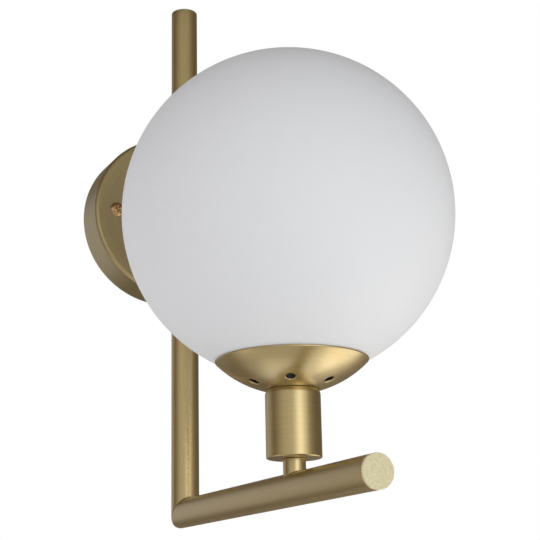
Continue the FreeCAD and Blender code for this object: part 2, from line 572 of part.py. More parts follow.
# ------------------------------------------------------------------ wiring inside
def build_wiring():
    """The terminal block on the canopy's inner face, its screws and the lead inside the arm."""
    half_width, cut = "(size.block_width / 2)", "size.block_chamfer"
    depth, level = "size.block_depth", "(-size.block_drop - size.block_height / 2)"

    def section(sketch):
        draw_outline(sketch, [(f"-{half_width}", "0"), (half_width, "0"), (half_width, f"{depth} - {cut}"),
                              (f"{half_width} - {cut}", depth), (f"-({half_width} - {cut})", depth),
                              (f"-{half_width}", f"{depth} - {cut}")])

    def entries(sketch):
        for step in (-1, 0, 1):
            draw_circle(sketch, "size.lead_diameter / 2 + size.block_entry_clearance",
                        f"{step} * size.block_screw_pitch", LEAD_DEPTH)

    def grooves(sketch):
        for side in (-1, 1):
            middle = f"{side} * size.block_screw_pitch / 2"
            low, high = f"{middle} - size.block_groove_width / 2", f"{middle} + size.block_groove_width / 2"
            draw_outline(sketch, [(low, f"{depth} - size.block_groove_depth"),
                                  (high, f"{depth} - size.block_groove_depth"), (high, depth), (low, depth)])

    block = padded("block", section, "size.block_height", midplane=True)
    pocket(block, entries, both=True)
    pocket(block, grooves, both=True)
    place(block, y=CANOPY_INNER_Y, z=level)
    keep(block, "terminal_block")

    heads = []
    for step in (-1, 0, 1):
        head = doc.addObject("Part::Cylinder", f"terminal_screw_{step + 2}")
        head.setExpression("Radius", "size.block_screw_diameter / 2")
        head.setExpression("Height", "size.block_screw_height")
        place(head, x=f"{step} * size.block_screw_pitch",
              y=f"{CANOPY_INNER_Y} + {depth} + size.block_screw_height", z=level, turn=OUTWARDS)
        heads.append(head)
    group = doc.addObject("Part::Compound", "terminal_screw_row")
    group.Links = heads
    keep(group, "terminal_screws")

    bend, corner = size("size.lead_bend"), size("size.lead_corner_bend")
    half = size("size.lead_diameter") / 2
    entry_y = size(f"{CANOPY_INNER_Y} + {LEAD_DEPTH}")
    tube_y, arm_z, axis_y = size(TUBE_Y), size(ARM_Z), size(AXIS_Y)
    route = [(entry_y, size("-size.block_drop - size.lead_entry")), (entry_y, 0), (tube_y, 0), (tube_y, arm_z), (axis_y, arm_z),
             (axis_y, size(HOLDER_Z) + size("size.nipple_stand"))]
    radii = [bend, bend, corner, bend]
    lead = doc.addObject("Part::Feature", "lead")
    lead.Shape = lead_shape([Vector(0, y, z) for y, z in route], radii, half)
    keep(lead, "internal_lead")


def lead_shape(points, radii, half):
    """A round lead along straight runs joined by tangent quarter bends, compared with its length."""
    edges, here = [], points[0]
    for index, radius in enumerate(radii, start=1):
        corner = points[index]
        back = (points[index - 1] - corner).normalize()
        ahead = (points[index + 1] - corner).normalize()
        start, end = corner + back * radius, corner + ahead * radius
        centre = start + ahead * radius
        middle = centre + (corner - centre).normalize() * radius
        edges.append(Part.LineSegment(here, start).toShape())
        edges.append(Part.Arc(start, middle, end).toShape())
        here = end
    edges.append(Part.LineSegment(here, points[-1]).toShape())
    path = Part.Wire(edges)
    section = Part.Wire(Part.Circle(points[0], points[1] - points[0], half).toShape())
    solid = path.makePipeShell([section], True, False)
    expected = path.Length * 3.14159265 * half ** 2
    print(f"lead: length {path.Length:.1f} mm, volume / (section x length) = {solid.Volume / expected:.4f}")
    return solid


build_bracket()
build_canopy()
build_wall_screws()
build_tubes()
build_plugs()
build_standoff()
build_nipples()
build_stem()
build_cup()
build_lampholder()
build_dish()
build_globe()
build_lamp()
build_wiring()
doc.recompute()

# ------------------------------------------------------------------ checks and files
for item in doc.Objects:
    if "Invalid" in item.State or "Error" in item.State:
        raise RuntimeError(f"{item.Label} failed to build: {item.State}")
for item in SUBPARTS:
    if item.Shape.isNull() or not item.Shape.isValid():
        raise RuntimeError(f"{item.Label} has no valid shape")

os.makedirs("parts", exist_ok=True)
for item in SUBPARTS:
    item.Shape.exportStep(os.path.join("parts", f"{item.Label}.step"))
    box = item.Shape.BoundBox
    print(f"{item.Label:18s} solids {len(item.Shape.Solids)}  volume {item.Shape.Volume:10.1f}  "
          f"x {box.XMin:7.1f} {box.XMax:7.1f}  y {box.YMin:7.1f} {box.YMax:7.1f}  "
          f"z {box.ZMin:7.1f} {box.ZMax:7.1f}")
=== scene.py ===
"""Looks of the globe wall sconce: satin brass arm, canopy, cup and dish, and an opal glass globe.

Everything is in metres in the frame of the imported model: the wall is y = 0, the room lies towards -Y,
+Z is up. New pieces are surfaces worked out with numpy, sized from the boxes of the nodes they stand for.
"""
from __future__ import annotations

import json
import logging
import math
from dataclasses import dataclass
from enum import Enum
from functools import cache

import bmesh
import bpy
import numpy as np
from mathutils import Matrix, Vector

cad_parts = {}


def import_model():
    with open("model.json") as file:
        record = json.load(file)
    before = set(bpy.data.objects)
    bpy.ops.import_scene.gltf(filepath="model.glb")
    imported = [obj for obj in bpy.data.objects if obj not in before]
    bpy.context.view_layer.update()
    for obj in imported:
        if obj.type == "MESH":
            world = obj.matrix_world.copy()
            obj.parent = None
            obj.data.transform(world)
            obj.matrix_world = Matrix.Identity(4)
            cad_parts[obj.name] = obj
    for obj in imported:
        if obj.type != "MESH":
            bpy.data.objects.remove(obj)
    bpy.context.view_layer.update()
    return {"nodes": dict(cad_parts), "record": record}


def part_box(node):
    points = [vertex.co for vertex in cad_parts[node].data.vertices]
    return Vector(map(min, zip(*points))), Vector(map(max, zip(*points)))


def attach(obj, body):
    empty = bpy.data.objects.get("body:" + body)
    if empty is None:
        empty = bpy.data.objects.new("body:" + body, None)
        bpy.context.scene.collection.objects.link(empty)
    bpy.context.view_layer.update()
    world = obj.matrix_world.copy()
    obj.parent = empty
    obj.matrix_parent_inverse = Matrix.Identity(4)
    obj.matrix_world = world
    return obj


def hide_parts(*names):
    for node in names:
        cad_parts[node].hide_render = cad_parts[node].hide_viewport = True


LOG = logging.getLogger("sconce")
LOG = logging.getLogger("sconce")
MM = 0.001
IMAGE_WIDTH = 540
SENSOR_WIDTH = 36.0
ROUND = 192               # segments round a large turned piece
ROUND_TUBE = 160          # segments round a tube or a plug
ROUND_SMALL = 128         # segments round a spacer or a screw
FILLET_STEPS = 8          # segments of a rounded edge
NIPPLE_HOLE = 5.3 * MM    # radius of each hole that a nipple passes through
Point = tuple[float, float, float]
Colour = tuple[float, float, float, float]
Socket = bpy.types.NodeSocket
WHITE: Colour = (1.0, 1.0, 1.0, 1.0)


# ---- surfaces
@dataclass(frozen=True)
class Axis:
    """An axis in space: a turned piece's centre line, its direction and the start of its angle."""

    origin: Point
    along: Point = (0.0, 0.0, 1.0)
    start: Point = (1.0, 0.0, 0.0)

    def carry(self, across: np.ndarray, aside: np.ndarray, height: np.ndarray) -> np.ndarray:
        """Places local coordinates in space.

        Args:
            across: distance along the start direction.
            aside: distance along the third direction, which completes a right-handed set.
            height: distance along the axis.

        Returns:
            Points with a last dimension of 3: origin + across * start + aside * side + height * along.
        """
        along, start = np.array(self.along), np.array(self.start)
        side = np.cross(along, start)
        return (np.array(self.origin) + across[..., None] * start + aside[..., None] * side
                + height[..., None] * along)

    def around(self, radius: np.ndarray, angle: np.ndarray, height: np.ndarray) -> np.ndarray:
        """Places polar coordinates: across is radius * cos(angle) and aside is radius * sin(angle)."""
        return self.carry(radius * np.cos(angle), radius * np.sin(angle), height + 0 * angle)


def outwards_axis(x: float, y: float, z: float) -> Axis:
    """An axis that points into the room, towards -Y, from a point."""
    return Axis((x, y, z), (0.0, -1.0, 0.0))


def circle(steps: int) -> np.ndarray:
    """Evenly spaced angles round a full turn."""
    return np.linspace(0, 2 * np.pi, steps, endpoint=False)


def rounded(corners: list[tuple[float, float, float]]) -> np.ndarray:
    """A closed profile whose corners are rounded.

    Each corner (radius, height, fillet) is replaced by the arc of that fillet radius that touches both
    of its edges: the arc's centre lies on the corner's bisector, at fillet / sin(half the angle).

    Args:
        corners: the corners in order, in metres, with the fillet radius of each.

    Returns:
        The profile's points, as rows of radius and height.
        The profile's points, as rows of radius and height.
    """
    points = np.array([corner[:2] for corner in corners])
    pieces = []
    for index, (_, _, fillet) in enumerate(corners):
        here = points[index]
        back = points[index - 1] - here
        ahead = points[(index + 1) % len(points)] - here
        back, ahead = back / np.linalg.norm(back), ahead / np.linalg.norm(ahead)
        half = math.acos(float(np.clip(back @ ahead, -1.0, 1.0))) / 2
        if fillet <= 0 or half > math.pi / 2 - 1e-4:
            pieces.append(here[None])
            continue
        bisector = (back + ahead) / np.linalg.norm(back + ahead)
        centre = here + bisector * fillet / math.sin(half)
        first = here + back * fillet / math.tan(half) - centre
        last = here + ahead * fillet / math.tan(half) - centre
        turn = math.pi - 2 * half
        share = np.linspace(0.0, 1.0, FILLET_STEPS + 1)[:, None]
        arc = (np.sin((1 - share) * turn) * first + np.sin(share * turn) * last) / math.sin(turn)
        pieces.append(centre + arc)
    return np.concatenate(pieces)


def subdivide(profile: np.ndarray, longest: float) -> np.ndarray:
    """Adds evenly spaced points to a closed profile, so that no edge is longer than a limit.

    Args:
        profile: the points, as rows of radius and height.
        longest: the longest edge that stays whole.

    Returns:
        The denser profile.
    """
    ends = np.roll(profile, -1, axis=0)
    counts = np.maximum(1, np.ceil(np.linalg.norm(ends - profile, axis=1) / longest).astype(int))
    parts = [a + (b - a) * np.linspace(0, 1, n, endpoint=False)[:, None]
             for a, b, n in zip(profile, ends, counts)]
    return np.concatenate(parts)


def grid_faces(rows: int, columns: int, wrap_rows: bool, wrap_columns: bool) -> np.ndarray:
    """The quads of a grid of points, numbered row by row.

    Args:
        rows: number of rows of points.
        columns: number of points in a row.
        wrap_rows: whether the last row joins the first.
        wrap_columns: whether each row closes on itself.

    Returns:
        One row of four point numbers for each quad.
    """
    row = np.arange(rows if wrap_rows else rows - 1)
    column = np.arange(columns if wrap_columns else columns - 1)
    row, column = np.meshgrid(row, column, indexing="ij")
    below, right = (row + 1) % rows, (column + 1) % columns
    corners = (row * columns + column, row * columns + right, below * columns + right,
               below * columns + column)
    return np.stack(corners, axis=-1).reshape(-1, 4)


class Shape:
    """Points and quads gathered from several surfaces, and made into one object."""

    def __init__(self) -> None:
        """Starts with no surface."""
        self.points: list[np.ndarray] = []
        self.quads: list[np.ndarray] = []
        self.count = 0

    def add(self, points: np.ndarray, wrap_rows: bool = False, wrap_columns: bool = False) -> "Shape":
        """Adds a grid of points.

        Args:
            points: an array of rows, columns and 3.
            wrap_rows: whether the last row joins the first.
            wrap_columns: whether each row closes on itself.

        Returns:
            The shape itself.
        """
        quads = grid_faces(points.shape[0], points.shape[1], wrap_rows, wrap_columns)
        self.points.append(points.reshape(-1, 3))
        self.quads.append(quads + self.count)
        self.count += points.shape[0] * points.shape[1]
        return self

    def turn(self, profile: np.ndarray, axis: Axis, segments: int = ROUND, closed: bool = True) -> "Shape":
        """Adds a profile, rows of radius and height, carried round an axis; closed joins its two ends."""
        points = axis.around(profile[:, :1], circle(segments), profile[:, 1:])
        return self.add(points, wrap_rows=closed, wrap_columns=True)

    def build(self, name: str, material: bpy.types.Material) -> bpy.types.Object:
        """Makes the object: doubles are merged, faces point outwards and shade smoothly.

        Args:
            name: the piece's name.
            material: its material.

        Returns:
            The new object, at the origin, with its place in its mesh.
        """
        points, quads = np.concatenate(self.points), np.concatenate(self.quads)
        mesh = bpy.data.meshes.new(name)
        mesh.vertices.add(len(points))
        mesh.vertices.foreach_set("co", points.astype(np.float32).ravel())
        mesh.loops.add(quads.size)
        mesh.loops.foreach_set("vertex_index", quads.astype(np.int32).ravel())
        mesh.polygons.add(len(quads))
        mesh.polygons.foreach_set("loop_start", np.arange(0, quads.size, 4, dtype=np.int32))
        mesh.update(calc_edges=True)
        mesh.validate()
        work = bmesh.new()
        work.from_mesh(mesh)
        bmesh.ops.remove_doubles(work, verts=work.verts, dist=2e-7)
        bmesh.ops.dissolve_degenerate(work, edges=work.edges, dist=1e-8)
        bmesh.ops.recalc_face_normals(work, faces=work.faces)
        work.to_mesh(mesh)
        work.free()
        mesh.polygons.foreach_set("use_smooth", np.ones(len(mesh.polygons), dtype=bool))
        mesh.materials.append(material)
        piece = bpy.data.objects.new(name, mesh)
        bpy.context.scene.collection.objects.link(piece)
        return piece


# ---- finishes
class Grain(Enum):
    """How the strokes of a brushed finish run on a piece."""

    ALONG_Y = "along y"
    ALONG_Z = "along z"
    TURNED_Z = "round a vertical axis"
    TURNED_Y = "round an axis square to the wall"


class Nodes:
    """A small hand for building node trees."""

    MIX_COLOUR_SOCKETS = (0, 6, 7)     # share, first and second colour of a Mix node
    NOISE_RANGE = (0.25, 0.75)         # where most of a noise's values lie

    def __init__(self, tree: bpy.types.NodeTree) -> None:
        """Works on one tree."""
        self.tree = tree

    def new(self, kind: str, values: dict[str, object] | None = None, **settings: object) -> bpy.types.Node:
        """Adds a node.

        Args:
            kind: the node's type name.
            values: what goes into its inputs, by name.
            settings: its properties, by name.

        Returns:
            The node.
        """
        node = self.tree.nodes.new(kind)
        for name, value in settings.items():
            setattr(node, name, value)
        self.fill(node, values or {})
        return node

    def feed(self, target: Socket, value: object) -> None:
        """Links a socket, or sets its value where a plain value is given."""
        if isinstance(value, Socket):
            self.tree.links.new(value, target)
        else:
            target.default_value = value

    def fill(self, node: bpy.types.Node, values: dict[str, object]) -> None:
        """Feeds several inputs of a node, by name."""
        for label, value in values.items():
            self.feed(node.inputs[label], value)

    def group(self, tree: bpy.types.NodeTree, **values: object) -> bpy.types.bpy_prop_collection:
        """Places a node group, feeds its inputs by name and gives its outputs."""
        return self.new("ShaderNodeGroup", values, node_tree=tree).outputs

    def math(self, operation: str, *values: object) -> Socket:
        """A math node.

        Args:
            operation: its operation.
            values: what goes into its sockets, as sockets or numbers.

        Returns:
            Its result.
        """
        node = self.new("ShaderNodeMath", operation=operation)
        for socket, value in zip(node.inputs, values):
            self.feed(socket, value)
        return node.outputs[0]

    def parts(self, vector: Socket) -> tuple[Socket, ...]:
        """A vector's X, Y and Z."""
        return tuple(self.new("ShaderNodeSeparateXYZ", {"Vector": vector}).outputs)

    def scaled(self, vector: Socket, factor: Socket) -> Socket:
        """A vector or a colour times a number."""
        values = {"Vector": vector, "Scale": factor}
        return self.new("ShaderNodeVectorMath", values, operation="SCALE").outputs[0]

    def noise(self, vector: Socket, scale: float, detail: float) -> Socket:
        """A noise pattern's value."""
        values = {"Vector": vector, "Scale": scale, "Detail": detail}
        return self.new("ShaderNodeTexNoise", values).outputs["Fac"]

    def raised(self, height: Socket, depth: float) -> Socket:
        """The normal of a surface that a height of 0 to 1 raises by a depth in metres."""
        values = {"Strength": 1.0, "Distance": depth, "Height": height}
        return self.new("ShaderNodeBump", values).outputs["Normal"]

    def blend(self, share: object, first: object, second: object) -> Socket:
        """Mixes two colours.

        Args:
            share: how much of the second is taken, 0 to 1.
            first: a socket or a plain colour.
            second: a socket or a plain colour.

        Returns:
            The mixed colour.
        """
        node = self.new("ShaderNodeMix", data_type="RGBA", blend_type="MIX")
        for index, value in zip(self.MIX_COLOUR_SOCKETS, (share, first, second)):
            self.feed(node.inputs[index], value)
        return node.outputs[2]

    def remap(self, value: Socket, ends: tuple[float, ...], kind: str) -> Socket:
        """Maps the range from the first end to the second onto the third and the fourth."""
        values = {"Value": value} | dict(zip(("From Min", "From Max", "To Min", "To Max"), ends))
        return self.new("ShaderNodeMapRange", values, interpolation_type=kind).outputs["Result"]

    def ramp(self, value: Socket, start: float, end: float, low: float, high: float) -> Socket:
        """Maps start to low and end to high along a smooth step, which is level before and after."""
        return self.remap(value, (start, end, low, high), "SMOOTHSTEP")

    def spread(self, value: Socket, low: float, high: float) -> Socket:
        """Maps a noise's usual range evenly to another."""
        return self.remap(value, (*self.NOISE_RANGE, low, high), "LINEAR")


def new_group(name: str, inputs: dict[str, str], outputs: dict[str, str]) -> tuple:
    """A shader node group with named sockets.

    Args:
        name: the group's name.
        inputs: socket types by name.
        outputs: socket types by name.

    Returns:
        The group, a hand on its tree, and its input and output nodes.
    """
    group = bpy.data.node_groups.new(name, "ShaderNodeTree")
    for label, kind in inputs.items():
        group.interface.new_socket(label, in_out="INPUT", socket_type=kind)
    for label, kind in outputs.items():
        group.interface.new_socket(label, in_out="OUTPUT", socket_type=kind)
    hand = Nodes(group)
    return group, hand, hand.new("NodeGroupInput"), hand.new("NodeGroupOutput")


class Patterns:
    """The shared node groups, each built once."""

    FLOAT, VECTOR, COLOUR = "NodeSocketFloat", "NodeSocketVector", "NodeSocketColor"
    RESULTS = {"Colour": COLOUR, "Roughness": FLOAT, "Height": FLOAT}
    STRAIGHT_SHRINK = 0.03     # along a straight stroke, against across it
    TURNED_SHRINK = 0.0012     # metres of pattern for each radian of a turned stroke
    FINE_SCALE, COARSE_SCALE, CLOUD_SCALE = 2600.0, 520.0, 26.0
    SMALL_SCALE = 4.5          # of the small mottling, against the broad one

    @classmethod
    @cache
    def stroke_place(cls, grain: Grain) -> bpy.types.NodeTree:
        """A group that turns a place into one whose X and Y run across the brush strokes.

        Straight strokes keep the two axes across them and shrink the one along them. Turned strokes
        use (radius, height, angle), so that a stroke is a circle round the axis.

        Args:
            grain: how the strokes run.

        Returns:
            The group, with the input Place and the output Strokes.
        """
        group, hand, start, end = new_group(f"strokes {grain.value}", {"Place": cls.VECTOR},
                                            {"Strokes": cls.VECTOR})
        x, y, z = hand.parts(start.outputs["Place"])
        if grain in (Grain.ALONG_Y, Grain.ALONG_Z):
            across, along = ((x, z), y) if grain is Grain.ALONG_Y else ((x, y), z)
            values = (*across, hand.math("MULTIPLY", along, cls.STRAIGHT_SHRINK))
        else:
            flat, height = ((x, y), z) if grain is Grain.TURNED_Z else ((x, z), y)
            square = hand.math("ADD", hand.math("POWER", flat[0], 2.0), hand.math("POWER", flat[1], 2.0))
            angle = hand.math("ARCTAN2", flat[1], flat[0])
            values = (hand.math("SQRT", square), height, hand.math("MULTIPLY", angle, cls.TURNED_SHRINK))
        joined = hand.new("ShaderNodeCombineXYZ", dict(zip("XYZ", values)))
        hand.feed(end.inputs["Strokes"], joined.outputs[0])
        return group

    @classmethod
    @cache
    def brushed(cls) -> bpy.types.NodeTree:
        """A group for brushed metal: fine strokes, broad tone and small stains.

        Returns:
            The group. Its inputs are Strokes and Place, Colour and Stain colours and Roughness, and it
            puts out Colour, Roughness and Height.
        """
        group, hand, start, end = new_group(
            "brushed metal",
            {"Strokes": cls.VECTOR, "Place": cls.VECTOR, "Colour": cls.COLOUR, "Stain": cls.COLOUR,
             "Roughness": cls.FLOAT}, cls.RESULTS)
        given = start.outputs
        fine = hand.noise(given["Strokes"], cls.FINE_SCALE, 3.0)
        coarse = hand.noise(given["Strokes"], cls.COARSE_SCALE, 2.0)
        cloud = hand.noise(given["Place"], cls.CLOUD_SCALE, 3.0)
        strokes = hand.math("ADD", hand.math("MULTIPLY", fine, 0.6), hand.math("MULTIPLY", coarse, 0.4))
        tone = hand.math("ADD", hand.spread(strokes, 0.86, 1.12), hand.spread(cloud, -0.08, 0.08))
        mixed = hand.blend(hand.spread(cloud, 0.0, 0.45), given["Colour"], given["Stain"])
        rough = hand.math("MULTIPLY", given["Roughness"], hand.spread(strokes, 0.88, 1.14))
        hand.fill(end, {"Colour": hand.scaled(mixed, tone), "Roughness": rough, "Height": strokes})
        return group

    @classmethod
    @cache
    def mottled(cls) -> bpy.types.NodeTree:
        """A group for cast, moulded or glazed surfaces: two sizes of soft mottling.

        Returns:
            The group. Its inputs are Place, Size, Colour, Other colour, Roughness and Contrast, and it
            puts out Colour, Roughness and Height.
        """
        group, hand, start, end = new_group(
            "mottled",
            {"Place": cls.VECTOR, "Size": cls.FLOAT, "Colour": cls.COLOUR, "Other": cls.COLOUR,
             "Roughness": cls.FLOAT, "Contrast": cls.FLOAT}, cls.RESULTS)
        given = start.outputs
        place = hand.scaled(given["Place"], given["Size"])
        broad, small = hand.noise(place, 1.0, 3.0), hand.noise(place, cls.SMALL_SCALE, 2.0)
        both = hand.math("ADD", hand.math("MULTIPLY", broad, 0.55), hand.math("MULTIPLY", small, 0.45))
        share = hand.math("MULTIPLY", hand.spread(both, 0.0, 1.0), given["Contrast"])
        mixed = hand.blend(share, given["Colour"], given["Other"])
        rough = hand.math("MULTIPLY", given["Roughness"], hand.spread(both, 0.9, 1.12))
        hand.fill(end, {"Colour": mixed, "Roughness": rough, "Height": both})
        return group


def material_start(name: str) -> tuple[bpy.types.Material, Nodes, bpy.types.Node, Socket]:
    """A material with a Principled shader.

    Args:
        name: the material's name.

    Returns:
        The material, a hand on its tree, the shader and the place on the object.
    """
    material = bpy.data.materials.new(name)
    material.use_nodes = True
    hand = Nodes(material.node_tree)
    place = hand.new("ShaderNodeTexCoord").outputs["Object"]
    return material, hand, material.node_tree.nodes["Principled BSDF"], place


@dataclass(frozen=True)
class BrushedMetal:
    """A brushed and lacquered metal.

    Its centre is the axis of turned strokes, or the corner of the arm on a mitred tube. There a dark
    line of braze and polish stays along the mitre, about as wide as seam to each side, with painted shade
    that is strongest in the inside corner of the arm.
    """

    name: str
    grain: Grain
    centre: Point
    colour: Colour
    stain: Colour
    roughness: float = 0.36
    lacquer: float = 0.90
    lacquer_roughness: float = 0.22
    lacquer_index: float = 1.7
    depth: float = 0.004 * MM
    seam: float = 0.0

    def build(self) -> bpy.types.Material:
        """Makes the material."""
        material, hand, shader, place = material_start(self.name)
        shift = [-value for value in self.centre]
        centred = hand.new("ShaderNodeMapping", {"Vector": place, "Location": shift}).outputs["Vector"]
        strokes = hand.group(Patterns.stroke_place(self.grain), Place=centred)["Strokes"]
        metal = hand.group(Patterns.brushed(), Strokes=strokes, Place=place, Colour=self.colour,
                           Stain=self.stain, Roughness=self.roughness)
        colour = metal["Colour"]
        # dark braze line on the mitre, with painted shade in the arm's inside corner
        if self.seam > 0:
            colour = self.paint_mitre_line_and_shade(hand, centred, colour)
        hand.fill(shader, {
            "Metallic": 1.0, "Coat Weight": self.lacquer, "Coat Roughness": self.lacquer_roughness,
            "Coat IOR": self.lacquer_index, "Base Color": colour, "Roughness": metal["Roughness"],
            "Normal": hand.raised(metal["Height"], self.depth)})
        return material

    def paint_mitre_line_and_shade(self, hand: Nodes, place: Socket, colour: Socket) -> Socket:
        """Darkens the metal along the mitre plane, where y + z is 0 from the corner: a dark braze line, with
        painted shade that is strongest inside the corner.

        Args:
            hand: the hand on the material's tree.
            place: the place from the corner.
            colour: the metal's colour.

        Returns:
            The stained colour.
        """
        _, y, z = hand.parts(place)
        off = hand.math("ABSOLUTE", hand.math("ADD", y, z))
        line = hand.ramp(off, self.seam * 0.25, self.seam * 1.4, 0.9, 0.0)
        # painted shade: the darkening is weak below the corner and full in the inside corner
        inside = hand.ramp(z, -9 * MM, 6 * MM, 0.15, 1.0)
        return hand.blend(hand.math("MULTIPLY", line, inside), colour, MITRE_LINE_AND_SHADE)


@dataclass(frozen=True)
class Mottled:
    """A cast, moulded, plated or glazed surface with soft mottling."""

    name: str
    colour: Colour
    other: Colour
    size: float = 300.0
    contrast: float = 0.5
    roughness: float = 0.5
    metallic: float = 0.0
    depth: float = 0.01 * MM
    coat: float = 0.0
    softness: float = 0.0
    softness_depth: float = 4 * MM
    gloss: float = 0.5

    def build(self) -> bpy.types.Material:
        """Makes the material."""
        material, hand, shader, place = material_start(self.name)
        cast = hand.group(Patterns.mottled(), Place=place, Size=self.size, Colour=self.colour,
                          Other=self.other, Roughness=self.roughness, Contrast=self.contrast)
        hand.fill(shader, {
            "Metallic": self.metallic, "Specular IOR Level": self.gloss, "Coat Weight": self.coat,
            "Subsurface Weight": self.softness, "Subsurface Scale": self.softness_depth,
            "Subsurface Radius": (1.0, 1.0, 1.0), "Base Color": cast["Colour"],
            "Roughness": cast["Roughness"], "Normal": hand.raised(cast["Height"], self.depth)})
        return material


BRASS: Colour = (0.525, 0.395, 0.164, 1.0)
BRASS_STAIN: Colour = (0.400, 0.285, 0.104, 1.0)
# painted shade: the brass darkened for the canopy, whose face reflects the dim room
SHADED_CANOPY_BRASS: Colour = (0.440, 0.340, 0.143, 1.0)
# dark of the braze line, and of the shade painted into the arm's inside corner
MITRE_LINE_AND_SHADE: Colour = (0.120, 0.085, 0.040, 1.0)


def brass(name: str, grain: Grain, centre: Point, **changes: float) -> bpy.types.Material:
    """The sconce's satin brass, brushed one way, with the finish's fields that differ."""
    return BrushedMetal(name, grain, centre, BRASS, BRASS_STAIN, **changes).build()


# ---- sub-assemblies
def box_of(node: str) -> tuple[np.ndarray, np.ndarray]:
    """The lowest and highest corner of a node, as arrays."""
    low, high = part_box(node)
    return np.array(low), np.array(high)


def settle(piece: bpy.types.Object, body: str, slot: str, *nodes: str) -> None:
    """Lets a piece stand for its nodes and makes it ride on its body.

    Args:
        piece: the finished piece.
        body: the body that it moves with.
        slot: the record's material slot; it is not used.
        nodes: the nodes that it stands for.
    """
    if nodes:
        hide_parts(*nodes)
    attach(piece, body)
    LOG.info("%s: %d faces, on %s", piece.name, len(piece.data.polygons), body)


@dataclass
class Canopy:
    """The round canopy and its two domed screws."""

    wall: float = 1.2 * MM
    edge: float = 2.5 * MM
    rim: float = 0.3 * MM
    longest_edge: float = 4 * MM
    segments: int = 256
    recess_width: float = 1.3 * MM
    recess_span: float = 5.6 * MM
    recess_depth: float = 1.5 * MM
    recess_side: float = 0.35 * MM
    recess_fade: float = 1.15
    dome_rings: int = 56
    shank: float = 2.0 * MM
    shank_end: float = 3 * MM

    def build(self) -> None:
        """Builds and dresses the canopy and its screws."""
        low, high = box_of("canopy")
        radius, depth = high[0], high[1] - low[1]
        inner, back = radius - self.wall, depth - self.wall
        profile = rounded([
            (NIPPLE_HOLE, depth, 0.0), (radius, depth, self.edge), (radius, 0.0, self.rim),
            (inner, 0.0, self.rim), (inner, back, self.edge - self.wall), (NIPPLE_HOLE, back, 0.0)])
        shell = Shape().turn(subdivide(profile, self.longest_edge), outwards_axis(0.0, 0.0, 0.0),
                             self.segments)
        # the canopy takes the darker copy of the brass: painted shade
        finish = BrushedMetal("canopy shaded brass", Grain.TURNED_Y, (0.0, 0.0, 0.0), SHADED_CANOPY_BRASS, BRASS_STAIN,
                              roughness=0.40).build()
        settle(shell.build("canopy_shell", finish), "root", "satin_brass", "canopy")
        self.build_screws(depth)

    def build_screws(self, depth: float) -> None:
        """Builds the two screws: a dome with a cross pressed into it, on a plain shank.

        The dome is a sphere's cap: sqrt(R^2 - r^2) - (R - rise), where R = (head^2 + rise^2) / (2 rise).
        The cross lowers it by the recess depth inside two crossed bars with soft sides, and fades with
        the distance from the middle.

        Args:
            depth: the canopy's depth.
        """
        low, high = box_of("canopy_screws")
        head, rise = high[2], -low[1] - depth
        spacing = high[0] - head
        sphere = (head ** 2 + rise ** 2) / (2 * rise)
        angle = circle(ROUND_SMALL)
        radius = head * np.linspace(0, 1, self.dome_rings)[:, None] + 0 * angle
        dome = np.sqrt(sphere ** 2 - radius ** 2) - (sphere - rise)
        across, aside = radius * np.cos(angle), radius * np.sin(angle)
        cross = np.maximum(self.bar(across, aside), self.bar(aside, across))
        fade = np.clip(self.recess_fade - radius / (self.recess_span / 2), 0, 1)
        height = dome - self.recess_depth * cross * fade
        end = self.shank_end - depth
        shank = np.array([[head, 0.0], [self.shank, 0.0], [self.shank, end], [0.0, end]])
        shape = Shape()
        for side in (-1, 1):
            axis = outwards_axis(side * spacing, -depth, 0.0)
            shape.add(axis.carry(across, aside, height), wrap_columns=True)
            shape.turn(shank, axis, ROUND_SMALL, closed=False)
        finish = BrushedMetal("screw bronze", Grain.TURNED_Y, (spacing, 0.0, 0.0), (0.55, 0.33, 0.15, 1.0),
                              (0.42, 0.24, 0.10, 1.0), roughness=0.17, lacquer=0.5).build()
        settle(shape.build("canopy_screw_pair", finish), "root", "bronze_screw", "canopy_screws")

    def bar(self, along: np.ndarray, across: np.ndarray) -> np.ndarray:
        """How deep one bar of the cross is at each point, 0 to 1, with sides that slope softly.

        Args:
            along: distance along the bar.
            across: distance across it.

        Returns:
            The share of the recess depth.
        """
        side = self.recess_side
        inside_width = np.clip((self.recess_width / 2 + side / 2 - np.abs(across)) / side, 0, 1)
        inside_span = np.clip((self.recess_span / 2 - np.abs(along)) / side, 0, 1)
        return inside_width * inside_span


